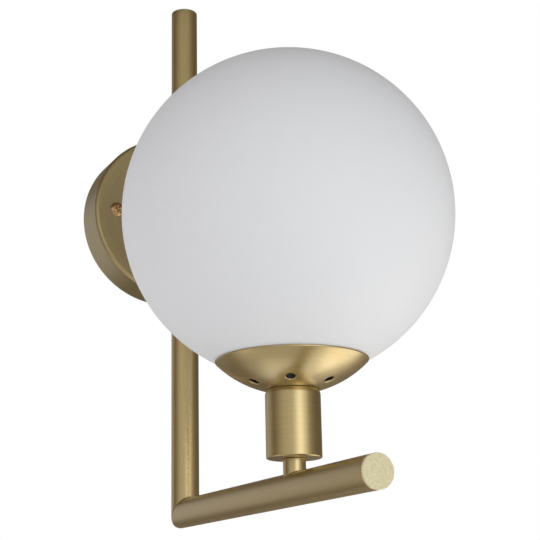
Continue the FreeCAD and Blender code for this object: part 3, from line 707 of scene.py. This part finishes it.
@dataclass
class Arm:
    """The mitred tube arm with its plugs, its stand-off and the stem."""

    wall: float = 1.5 * MM
    seam: float = 0.30 * MM
    seam_width: float = 0.45 * MM
    # width of the dark mitre line with its painted corner shade
    mitre_line_and_shade_width: float = 0.9 * MM
    end_edge: float = 0.12 * MM
    end_run: float = 0.25 * MM
    plug_edge: float = 0.45 * MM
    plug_head: float = 1.6 * MM
    plug_fit: float = 0.05 * MM
    cope_edge: float = 0.35 * MM
    cope_fade: float = 0.012

    def __post_init__(self) -> None:
        """Works the tubes' radius and the arm's corner out from the upright tube's box."""
        low, high = box_of("upright_tube")
        self.radius, self.top = high[0], high[2]
        self.corner = (0.0, high[1] - self.radius, low[2] + self.radius)

    def build(self) -> None:
        """Builds and dresses the arm."""
        upright = brass("upright brass", Grain.ALONG_Z, self.corner, seam=self.mitre_line_and_shade_width)
        reach = brass("reach brass", Grain.ALONG_Y, self.corner, seam=self.mitre_line_and_shade_width)
        _, axis_y, axis_z = self.corner
        far = box_of("reach_tube")[0][1]
        self.build_tube("upright_skin", "upright_tube", Axis(self.corner), self.top - axis_z, upright)
        self.build_tube("reach_skin", "reach_tube", outwards_axis(*self.corner), axis_y - far, reach)
        self.build_plugs()
        self.build_spacers()

    def build_tube(self, name: str, node: str, axis: Axis, length: float,
                   finish: bpy.types.Material) -> None:
        """Builds a tube whose start is mitred.

        A wall point at rise h of the length L lies at height h + m * (1 - h / L)^3, where m is the mitre
        plane's height there. The outer edge sinks by seam * exp(-(h / seam width)^2) at the mitre, which
        is the ground seam.

        Args:
            name: the piece's name.
            node: the node that it stands for.
            axis: the tube's centre line from the corner.
            length: from the corner to its far end.
            finish: its material.
        """
        near = np.array([0.0, 0.12, 0.3, 0.6, 1.0]) * self.seam_width * 2
        body = np.linspace(1.5 * MM, length - 0.6 * MM, 60)
        rise = np.concatenate([near, body, [length - 0.2 * MM, length - 0.05 * MM, length]])
        sink = self.seam * np.exp(-(rise / self.seam_width) ** 2)
        lip = np.interp(rise, [length - self.end_run, length], [0.0, self.end_edge])
        outer = np.stack([self.radius - sink - lip, rise], axis=-1)
        bore = np.stack([np.full(8, self.radius - self.wall), np.linspace(length, 0.0, 8)], axis=-1)
        profile = np.concatenate([outer, bore])
        angle = circle(ROUND_TUBE)
        radius, rise = profile[:, :1] + 0 * angle, profile[:, 1:]
        across, aside = radius * np.cos(angle), radius * np.sin(angle)
        height = self.mitre_height(axis, aside) * (1 - rise / length) ** 3 + rise
        shape = Shape().add(axis.carry(across, aside, height), wrap_rows=True, wrap_columns=True)
        settle(shape.build(name, finish), "root", "satin_brass", node)

    @staticmethod
    def mitre_height(axis: Axis, aside: np.ndarray) -> np.ndarray:
        """Height above the corner of the mitre plane, which leans at 45 degrees, at each wall point."""
        return -aside if axis.along[2] > 0.5 else aside

    def build_plugs(self) -> None:
        """Builds the two flat plugs, with a softened rim and a spigot in the tube."""
        low, high = box_of("top_plug")
        head, inner = self.plug_head, self.radius - self.wall - self.plug_fit
        spigot = high[2] - low[2] - head
        profile = subdivide(rounded([
            (0.0, head, 0.0), (self.radius, head, self.plug_edge), (self.radius, 0.06 * MM, 0.1 * MM),
            (inner, 0.0, 0.0), (inner, -spigot, 0.3 * MM), (0.0, -spigot, 0.0)]), 1.2 * MM)
        _, axis_y, axis_z = self.corner
        top = Shape().turn(profile, Axis((0.0, axis_y, high[2] - head)), ROUND_TUBE)
        finish = brass("top plug brass", Grain.TURNED_Z, (0.0, axis_y, 0.0))
        settle(top.build("top_plug_cap", finish), "root", "satin_brass", "top_plug")
        end = box_of("front_plug")[0][1]
        front = Shape().turn(profile, outwards_axis(0.0, end + head, axis_z), ROUND_TUBE)
        cast = Mottled("plug end brass", (0.88, 0.81, 0.56, 1.0), (0.56, 0.49, 0.28, 1.0), size=640.0,
                       contrast=0.9, roughness=0.60, metallic=0.35, depth=0.25 * MM).build()
        settle(front.build("front_plug_cap", cast), "root", "end_brass", "front_plug")

    def build_spacers(self) -> None:
        """Builds the stand-off and the stem: round spacers whose end is coped to a tube."""
        _, high = box_of("arm_standoff")
        self.coped("standoff_skin", "arm_standoff", outwards_axis(0.0, high[1], 0.0), high[0],
                   high[1] - self.corner[1], brass("standoff brass", Grain.TURNED_Y, (0.0, 0.0, 0.0)))
        low, high = box_of("stem")
        centre_y = (low[1] + high[1]) / 2
        top = Axis((0.0, centre_y, high[2]), (0.0, 0.0, -1.0), (0.0, 1.0, 0.0))
        self.coped("stem_skin", "stem", top, high[0], high[2] - self.corner[2],
                   brass("stem brass", Grain.TURNED_Z, (0.0, centre_y, 0.0), roughness=0.34))

    def coped(self, name: str, node: str, axis: Axis, outer: float, reach: float,
              finish: bpy.types.Material) -> None:
        """Builds a spacer from its flat end to the tube that it sits on.

        A coped end's height at (x, y) is the tube's own surface there: reach - sqrt(R^2 - d^2), where R
        is the tube's radius and d the distance from the plane through both axes.

        Args:
            name: the piece's name.
            node: the node that it stands for.
            axis: its centre line, from the flat end towards the tube.
            outer: its outer radius.
            reach: from the flat end to the tube's axis.
            finish: its material.
        """
        steps = np.concatenate([[0.0, 0.01, 0.03], np.linspace(0.06, 0.94, 12), [0.97, 0.99, 1.0]])
        inset = self.cope_edge * (np.exp(-steps / self.cope_fade) + np.exp(-(1 - steps) / self.cope_fade))
        radii = np.concatenate([outer - inset, np.full(2, NIPPLE_HOLE)])
        shares = np.concatenate([steps, [1.0, 0.0]])
        angle = circle(ROUND_SMALL)
        across, aside = radii[:, None] * np.cos(angle), radii[:, None] * np.sin(angle)
        tube_side = across if axis.along[1] < -0.5 else aside
        end = reach - np.sqrt(self.radius ** 2 - tube_side ** 2)
        shape = Shape().add(axis.carry(across, aside, shares[:, None] * end), wrap_rows=True,
                            wrap_columns=True)
        settle(shape.build(name, finish), "root", "satin_brass", node)


@dataclass
class Dish:
    """The spun dish with its vents: a spherical bowl with a rounded rim."""

    wall: float = 1.0 * MM
    depth: float = 19.1 * MM
    hole: float = 15.0 * MM
    rim_run: float = 0.7 * MM
    rim_bulge: float = 0.72
    vent_radius: float = 2.75 * MM
    vent_edge: float = 0.6 * MM
    vent_ring: float = 25.0 * MM
    vents: int = 6
    band: float = 4.6 * MM
    side_steps: int = 12
    arc_steps: int = 32
    hole_steps: int = 9
    crowding: float = 1.6

    def __post_init__(self) -> None:
        """Works the bowl out from the node's box."""
        low, high = box_of("dish")
        self.radius, rim = high[0], high[2]
        self.bowl = (self.radius ** 2 + self.depth ** 2) / (2 * self.depth)
        self.bowl_z = rim - self.depth + self.bowl
        self.axis = Axis((0.0, (low[1] + high[1]) / 2, 0.0))

    def cover(self, shape: Shape, radius: np.ndarray, angle: np.ndarray, inset: np.ndarray | float) -> None:
        """Adds a grid of points of the bowl, closed round the axis or round a vent.

        The bowl is a sphere's cap, so a point inside the wall lies on the same ray from the sphere's
        centre, at (R - inset) / R of its length.

        Args:
            shape: the shape that grows.
            radius: distance from the axis on the outer face.
            angle: angle round the axis.
            inset: distance into the wall.
        """
        share = (self.bowl - inset) / self.bowl
        drop = np.sqrt(self.bowl ** 2 - radius ** 2)
        shape.add(self.axis.around(radius * share, angle, self.bowl_z - drop * share), wrap_columns=True)

    def build(self) -> None:
        """Builds and dresses the dish."""
        shape = Shape()
        angle = circle(self.arc_steps * self.vents)
        low_band, high_band = self.vent_ring - self.band, self.vent_ring + self.band
        for inset in (0.0, self.wall):
            for start, end, rings in ((self.hole, low_band, 8), (high_band, self.radius - self.rim_run, 26)):
                self.cover(shape, np.linspace(start, end, rings)[:, None] + 0 * angle, angle, inset)
            self.add_vents(shape, inset)
        self.add_rim(shape, angle)
        through = np.linspace(0, self.wall, 3)[:, None]
        self.cover(shape, np.full((3, 1), self.hole) + 0 * angle, angle, through)
        finish = brass("dish brass", Grain.TURNED_Z, self.axis.origin)
        settle(shape.build("dish_bowl", finish), "root", "satin_brass", "dish")

    def add_rim(self, shape: Shape, angle: np.ndarray) -> None:
        """Adds the rounded rim: half an ellipse from the outer face to the inner one."""
        turn = np.linspace(0, np.pi, 13)[:, None]
        inset = self.wall / 2 - self.wall / 2 * np.cos(turn)
        bulge = self.rim_run * np.sin(turn) * self.rim_bulge
        self.cover(shape, self.radius - self.rim_run + bulge + 0 * angle, angle, inset)

    def vent_grid(self, index: int, hole: float) -> tuple[np.ndarray, np.ndarray]:
        """The place of a grid between one vent and its share of the band.

        The outer edge runs round the share: an inner arc, a side, an outer arc and a side. The inner
        edge is the vent's circle, and each grid point lies on the line between the two.

        Args:
            index: the vent's number.
            hole: the vent's radius on this face.

        Returns:
            Radius and angle of the points, as arrays of hole_steps rows.
        """
        half = np.pi / self.vents
        low, high = self.vent_ring - self.band, self.vent_ring + self.band
        sweep = np.linspace(-half, half, self.arc_steps + 1)[:-1]
        side = np.linspace(low, high, self.side_steps + 1)[:-1]
        edge_angle = np.concatenate([sweep, np.full(side.size, half), -sweep, np.full(side.size, -half)])
        edge_radius = np.concatenate([np.full(sweep.size, low), side, np.full(sweep.size, high),
                                      2 * self.vent_ring - side])
        x = edge_radius * np.cos(edge_angle) - self.vent_ring
        y = edge_radius * np.sin(edge_angle)
        towards = np.arctan2(y, x)
        share = np.linspace(0, 1, self.hole_steps)[:, None] ** self.crowding
        hole_x, hole_y = hole * np.cos(towards), hole * np.sin(towards)
        grid_x = hole_x + share * (x - hole_x) + self.vent_ring
        grid_y = hole_y + share * (y - hole_y)
        turn = 2 * np.pi * index / self.vents
        return np.hypot(grid_x, grid_y), np.arctan2(grid_y, grid_x) + turn

    def add_vents(self, shape: Shape, inset: float) -> None:
        """Adds the band with the vents on one face, and the punched walls with the outer face.

        A punched wall starts at the outer face with a quarter round and then runs straight inwards.

        Args:
            shape: the shape that grows.
            inset: the face's distance into the wall, which is 0 on the outer face.
        """
        outer = inset == 0
        turn = np.linspace(0, np.pi / 2, 6)
        radii = np.append(self.vent_radius + self.vent_edge * (1 - np.sin(turn)), self.vent_radius)
        insets = np.append(self.vent_edge * (1 - np.cos(turn)), self.wall)
        for index in range(self.vents):
            self.cover(shape, *self.vent_grid(index, radii[0] if outer else self.vent_radius), inset)
            if outer:
                rings = [self.vent_grid(index, hole) for hole in radii]
                radius, angle = (np.stack([ring[part][0] for ring in rings]) for part in (0, 1))
                self.cover(shape, radius, angle, insets[:, None])


@dataclass
class SocketCup:
    """The socket cup under the dish."""

    floor: float = 1.4 * MM
    wall: float = 1.5 * MM
    shoulder_height: float = 2.4 * MM
    shoulder_width: float = 0.9 * MM
    shoulder_round: float = 3.0 * MM
    foot_edge: float = 0.9 * MM
    longest_edge: float = 2 * MM

    def build(self) -> None:
        """Builds and dresses the cup."""
        low, high = box_of("socket_cup")
        radius, bottom, top = high[0], low[2], high[2]
        inner, floor = radius - self.wall, bottom + self.floor
        profile = rounded([
            (NIPPLE_HOLE, bottom, 0.0), (radius, bottom, self.foot_edge),
            (radius, top - self.shoulder_height, self.shoulder_round),
            (radius - self.shoulder_width, top, 0.45 * MM), (inner, top, 0.02 * MM),
            (inner, floor, 0.5 * MM), (NIPPLE_HOLE, floor, 0.0)])
        centre = (0.0, (low[1] + high[1]) / 2, 0.0)
        cup = Shape().turn(subdivide(profile, self.longest_edge), Axis(centre))
        finish = brass("cup brass", Grain.TURNED_Z, centre)
        settle(cup.build("cup_shell", finish), "root", "satin_brass", "socket_cup")


@dataclass
class Globe:
    """The blown opal globe with its short neck."""

    wall: float = 3.0 * MM
    neck_bore: float = 30.7 * MM
    neck_wall: float = 2.8 * MM
    lip_height: float = 1.0 * MM
    segments: int = 288

    def build(self) -> None:
        """Builds and dresses the globe: two spheres that the neck's lip joins."""
        low, high = box_of("globe")
        radius, neck = high[0], self.neck_bore + self.neck_wall
        inner = radius - self.wall
        centre = (0.0, (low[1] + high[1]) / 2, high[2] - radius)
        outer_turn = np.linspace(np.pi / 2, -math.acos(neck / radius), 150)
        inner_turn = np.linspace(-math.acos(self.neck_bore / inner), np.pi / 2, 110)
        outside = radius * np.stack([np.cos(outer_turn), np.sin(outer_turn)], axis=-1)
        inside = inner * np.stack([np.cos(inner_turn), np.sin(inner_turn)], axis=-1)
        profile = np.concatenate([outside, self.neck_lip(low[2] - centre[2], neck), inside])
        shape = Shape().turn(profile, Axis(centre), self.segments, closed=False)
        finish = Mottled("opal glass", (0.80, 0.80, 0.83, 1.0), (0.77, 0.77, 0.80, 1.0), size=34.0,
                         roughness=0.55, softness=0.35, gloss=0.3).build()
        settle(shape.build("opal_globe", finish), "globe", "opal_glass", "globe")

    def neck_lip(self, rest: float, neck: float) -> np.ndarray:
        """The fire-polished end of the neck: a half ellipse between its two walls.

        Args:
            rest: the height that the neck rests at, from the globe's centre.
            neck: the neck's outer radius.

        Returns:
            Rows of radius and height.
        """
        turn = np.linspace(0, np.pi, 13)
        middle, half = (neck + self.neck_bore) / 2, (neck - self.neck_bore) / 2
        height = rest + self.lip_height - self.lip_height * np.sin(turn)
        return np.stack([middle + half * np.cos(turn), height], axis=-1)


@dataclass
class Lamp:
    """The lamp's frosted envelope, which shows when the globe is lifted."""

    wall: float = 0.9 * MM
    shoulder: float = math.radians(35)
    neck_height: float = 9.0 * MM
    flare_pull: float = 0.42
    segments: int = 144

    def build(self) -> None:
        """Builds and dresses the envelope: a sphere, a flare along a cubic Bezier curve and a neck."""
        low, high = box_of("lamp_envelope")
        radius, neck = high[0], box_of("lamp_cap")[1][0]
        turn = np.linspace(np.pi / 2, -self.shoulder, 70)
        ball = np.stack([radius * np.cos(turn), high[2] - radius + radius * np.sin(turn)], axis=-1)
        share = np.linspace(0, 1, 24)[1:, None]
        start, end = ball[-1], np.array([neck, low[2] + self.neck_height])
        pull = self.flare_pull * np.linalg.norm(end - start)
        leave = start + pull * np.array([-math.sin(self.shoulder), -math.cos(self.shoulder)])
        arrive = end + np.array([0.0, pull])
        flare = ((1 - share) ** 3 * start + 3 * (1 - share) ** 2 * share * leave
                 + 3 * (1 - share) * share ** 2 * arrive + share ** 3 * end)
        outside = np.concatenate([ball, flare, [[neck, low[2]]]])
        inside = outside[::-1].copy()
        inside[:, 0] = np.maximum(inside[:, 0] - self.wall, 0.0)
        inside[-1, 1] -= self.wall
        axis = Axis((0.0, (low[1] + high[1]) / 2, 0.0))
        shape = Shape().turn(np.concatenate([outside, inside]), axis, self.segments, closed=False)
        finish = Mottled("frosted lamp glass", (0.84, 0.83, 0.80, 1.0), (0.80, 0.79, 0.76, 1.0), size=60.0,
                         contrast=0.4, roughness=0.35, softness=0.3).build()
        settle(shape.build("lamp_bulb", finish), "lamp", "lamp_glass", "lamp_envelope")


# ---- kept nodes
def dress_nodes(frame: dict) -> None:
    """Gives every CAD node that stays its own material.
    """
    zinc = Mottled("zinc plate", (0.60, 0.60, 0.58, 1.0), (0.48, 0.48, 0.47, 1.0), size=700.0,
                   contrast=0.6, roughness=0.34, metallic=1.0, depth=0.000006).build()
    bare = Mottled("machined brass", (0.66, 0.49, 0.22, 1.0), (0.55, 0.40, 0.17, 1.0), size=500.0,
                   roughness=0.28, metallic=1.0, depth=0.000005).build()
    finishes = {
        "plated_steel": zinc, "block_steel": zinc, "bare_brass": bare, "satin_brass": bare,
        "green_screw": Mottled("green plate", (0.03, 0.20, 0.07, 1.0), (0.02, 0.14, 0.05, 1.0), size=500.0,
                               roughness=0.35, metallic=0.6).build(),
        "porcelain": Mottled("white porcelain", (0.80, 0.79, 0.75, 1.0), (0.74, 0.73, 0.69, 1.0), size=120.0,
                             roughness=0.22, coat=0.5).build(),
        "silicone": Mottled("silicone", (0.70, 0.70, 0.68, 1.0), (0.62, 0.62, 0.60, 1.0), size=200.0,
                            roughness=0.6).build(),
        "lamp_metal": Mottled("lamp cap metal", (0.72, 0.72, 0.73, 1.0), (0.62, 0.62, 0.64, 1.0), size=600.0,
                              roughness=0.22, metallic=1.0).build(),
        "lamp_vitrite": Mottled("black glass", (0.02, 0.02, 0.02, 1.0), (0.04, 0.04, 0.04, 1.0), size=300.0,
                                roughness=0.12).build(),
        "block_plastic": Mottled("moulded nylon", (0.80, 0.79, 0.74, 1.0), (0.74, 0.73, 0.68, 1.0),
                                 size=250.0, roughness=0.48).build(),
        "lead_sheath": Mottled("lead sheath", (0.78, 0.77, 0.73, 1.0), (0.70, 0.69, 0.65, 1.0), size=180.0,
                               roughness=0.5).build(),
    }
    slots = {part["node"]: part["material_slot"] for part in frame["record"]["subparts"]}
    for name, node in frame["nodes"].items():
        finish = finishes.get(slots[name])
        if finish is None:
            continue
        if not node.material_slots:
            node.data.materials.append(finish)
        for holder in node.material_slots:
            holder.material = finish
        LOG.info("%s keeps its CAD shape, in %s", name, finish.name)


# ---- studio
def put(name: str, data: bpy.types.ID, place: Point, axes: tuple[np.ndarray, ...]) -> bpy.types.Object:
    """Puts a camera or a light in the scene.

    Args:
        name: the object's name.
        data: the camera or the light.
        place: where it stands.
        axes: its own right, up and backward directions.

    Returns:
        The new object.
    """
    matrix = np.eye(4)
    matrix[:3] = np.column_stack([*axes, place])
    item = bpy.data.objects.new(name, data)
    item.matrix_world = Matrix(matrix.tolist())
    bpy.context.scene.collection.objects.link(item)
    return item


@dataclass(frozen=True)
class PhotoCamera:
    """The camera at the photograph's viewing angle, from a fit to the outlines in the photograph."""

    place: Point = (-0.339413, -0.853325, -0.291531)
    yaw: float = math.radians(26.8433)
    pitch: float = math.radians(15.6465)
    roll: float = math.radians(-1.1971)
    focal_pixels: float = 1266.75

    def build(self) -> None:
        """Makes the camera and hands it to the scene.

        It looks along (sin yaw cos pitch, cos yaw cos pitch, sin pitch), and rolls about that line.
        """
        data = bpy.data.cameras.new("photo_camera")
        data.sensor_width = SENSOR_WIDTH
        data.lens = self.focal_pixels / IMAGE_WIDTH * SENSOR_WIDTH
        data.clip_start, data.clip_end = 0.01, 50.0
        forward = np.array([math.sin(self.yaw) * math.cos(self.pitch),
                            math.cos(self.yaw) * math.cos(self.pitch), math.sin(self.pitch)])
        right = np.array([math.cos(self.yaw), -math.sin(self.yaw), 0.0])
        up = np.cross(right, forward)
        turned_right = math.cos(self.roll) * right + math.sin(self.roll) * up
        turned_up = -math.sin(self.roll) * right + math.cos(self.roll) * up
        bpy.context.scene.camera = put("photo_camera", data, self.place, (turned_right, turned_up, -forward))


@dataclass(frozen=True)
class SoftBox:
    """A rectangular soft light that faces a point of the object, and that the camera doesn't see.

    on_matt is the share of its light that matt surfaces take.
    """

    name: str
    place: Point
    width: float
    height: float
    power: float
    colour: tuple[float, float, float]
    on_matt: float = 0.10
    target: Point = (0.0, -0.20, -0.10)

    def build(self) -> None:
        """Makes the light."""
        data = bpy.data.lights.new(self.name, "AREA")
        data.shape = "RECTANGLE"
        data.size, data.size_y, data.energy = self.width, self.height, self.power
        data.color = self.colour
        data.diffuse_factor = self.on_matt
        away = np.array(self.place) - np.array(self.target)
        away /= np.linalg.norm(away)
        right = np.cross((0.0, 0.0, 1.0), away)
        right /= np.linalg.norm(right)
        light = put(self.name, data, self.place, (right, np.cross(away, right), away))
        light.visible_camera = False


@dataclass(frozen=True)
class Studio:
    """A pale floor, a white background and soft light."""

    floor_height: float = -1.05
    floor_middle: float = -1.25
    floor_half: tuple[float, float] = (3.2, 1.95)
    glow_shown: float = 0.40
    glow_edge: float = 0.70
    glow_mirrored: float = 0.08
    dim_room: Colour = (0.18, 0.148, 0.108, 1.0)
    front_room: Colour = (0.40, 0.40, 0.38, 1.0)
    lights: tuple[SoftBox, ...] = (
        SoftBox("wide_box", (0.10, -1.50, -0.38), 1.4, 1.3, 4.2, (0.97, 1.0, 0.97)),
        SoftBox("front_box", (0.0, -1.45, -0.36), 0.55, 1.1, 2.4, (0.97, 1.0, 0.98)),
        SoftBox("low_box", (0.62, -0.26, -0.72), 0.6, 0.6, 1.7, (1.0, 0.96, 0.86)),
        SoftBox("left_box", (-0.70, 0.15, -0.80), 0.5, 0.5, 0.5, (1.0, 0.97, 0.90)),
        SoftBox("under_box", (0.20, 0.02, -0.95), 0.8, 0.5, 0.9, (1.0, 1.0, 1.0), 1.0))

    def build(self) -> None:
        """Makes the floor, the world, the lights and the camera."""
        self.build_floor()
        self.build_world()
        for light in self.lights:
            light.build()
        bpy.context.scene.view_settings.view_transform = "Standard"
        PhotoCamera().build()

    def build_floor(self) -> None:
        """Makes the pale floor, a plane below the object.

        It glows a little for the camera and in reflections. For the camera the glow grows towards the
        floor's edge with sqrt(aside^2 + away^2), each the distance from its middle as a share of its
        half size, so that it runs into the white background.
        """
        wide, deep = self.floor_half
        far, near = self.floor_middle + deep, self.floor_middle - deep
        points = np.array([[[-wide, near, 0.0], [wide, near, 0.0]], [[-wide, far, 0.0], [wide, far, 0.0]]])
        points[..., 2] = self.floor_height
        paint = Mottled("floor paint", (0.82, 0.82, 0.82, 1.0), (0.80, 0.80, 0.80, 1.0), size=6.0,
                        contrast=0.4, roughness=0.8, depth=0.02 * MM).build()
        hand = Nodes(paint.node_tree)
        rays = hand.new("ShaderNodeLightPath").outputs
        x, y, _ = hand.parts(hand.new("ShaderNodeTexCoord").outputs["Object"])
        aside = hand.math("POWER", hand.math("DIVIDE", x, wide), 2.0)
        from_middle = hand.math("SUBTRACT", y, self.floor_middle)
        away = hand.math("POWER", hand.math("DIVIDE", from_middle, deep), 2.0)
        share = hand.math("SQRT", hand.math("ADD", aside, away))
        shown = hand.ramp(share, 0.45, 0.98, self.glow_shown, self.glow_edge)
        mirrored = hand.math("MULTIPLY", self.shiny(hand, rays), self.glow_mirrored)
        glow = hand.math("MULTIPLY_ADD", rays["Is Camera Ray"], shown, mirrored)
        shader = paint.node_tree.nodes["Principled BSDF"]
        hand.fill(shader, {"Emission Color": WHITE, "Emission Strength": glow})
        floor = Shape().add(points).build("studio_floor", paint)

    @staticmethod
    def shiny(hand: Nodes, rays: bpy.types.bpy_prop_collection) -> Socket:
        """1 for rays from a glossy or a clear surface, and 0 for others."""
        return hand.math("MAXIMUM", rays["Is Glossy Ray"], rays["Is Transmission Ray"])

    def build_world(self) -> None:
        """Makes the world: white where it shows, and a soft surround that lights the object.

        What the camera sees is white. Metal reflects a room that is dim all round and overhead, bright
        in front except high up, more so to the left, and pale again in a patch behind the object on the
        left. Matt surfaces gather an even light that grows towards the floor, and a little towards the
        left and the wall.
        """
        world = bpy.data.worlds.new("studio_world")
        bpy.context.scene.world = world
        world.use_nodes = True
        hand = Nodes(world.node_tree)
        x, y, z = hand.parts(hand.new("ShaderNodeTexCoord").outputs["Generated"])
        window = hand.math("MULTIPLY_ADD", x, -0.2, hand.math("MULTIPLY", y, -0.97))
        base = hand.blend(hand.ramp(window, 0.2, 1.0, 0.0, 1.0), self.dim_room, self.front_room)
        front = hand.ramp(window, -0.3, 0.6, 0.0, 1.0)
        low = hand.ramp(hand.math("MULTIPLY_ADD", x, 0.12, z), 0.52, 0.20, 0.0, 1.0)
        strength = hand.math("MULTIPLY_ADD", x, -0.20, 0.28)
        bright = hand.math("MULTIPLY", hand.math("MULTIPLY", front, low), strength)
        room = hand.new("ShaderNodeVectorMath", operation="ADD")
        hand.feed(room.inputs[0], base)
        hand.feed(room.inputs[1], bright)
        even = hand.math("MULTIPLY_ADD", y, 0.08, 0.86)
        even = hand.math("MULTIPLY_ADD", z, -0.58, even)
        even = hand.math("MULTIPLY_ADD", x, -0.16, even)
        rays = hand.new("ShaderNodeLightPath").outputs
        surround = hand.blend(rays["Is Diffuse Ray"], room.outputs[0], even)
        backdrop = hand.math("MULTIPLY_ADD", x, -0.45, hand.math("MULTIPLY", y, 0.89))
        seen = hand.math("MULTIPLY", self.shiny(hand, rays), hand.ramp(backdrop, 0.80, 1.0, 0.0, 0.45))
        white = hand.math("MAXIMUM", rays["Is Camera Ray"], seen)
        background = world.node_tree.nodes["Background"]
        hand.fill(background, {"Color": hand.blend(white, surround, WHITE)})


def main() -> None:
    """Builds every sub-assembly on the frame, then the studio."""
    logging.basicConfig(level=logging.INFO, format="%(name)s: %(message)s")
    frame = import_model()
    dress_nodes(frame)
    for part in (Canopy(), Arm(), SocketCup(), Dish(), Lamp(), Globe()):
        LOG.info("building %s", type(part).__name__)
        part.build()
    Studio().build()


if __name__ == "__main__":
    main()
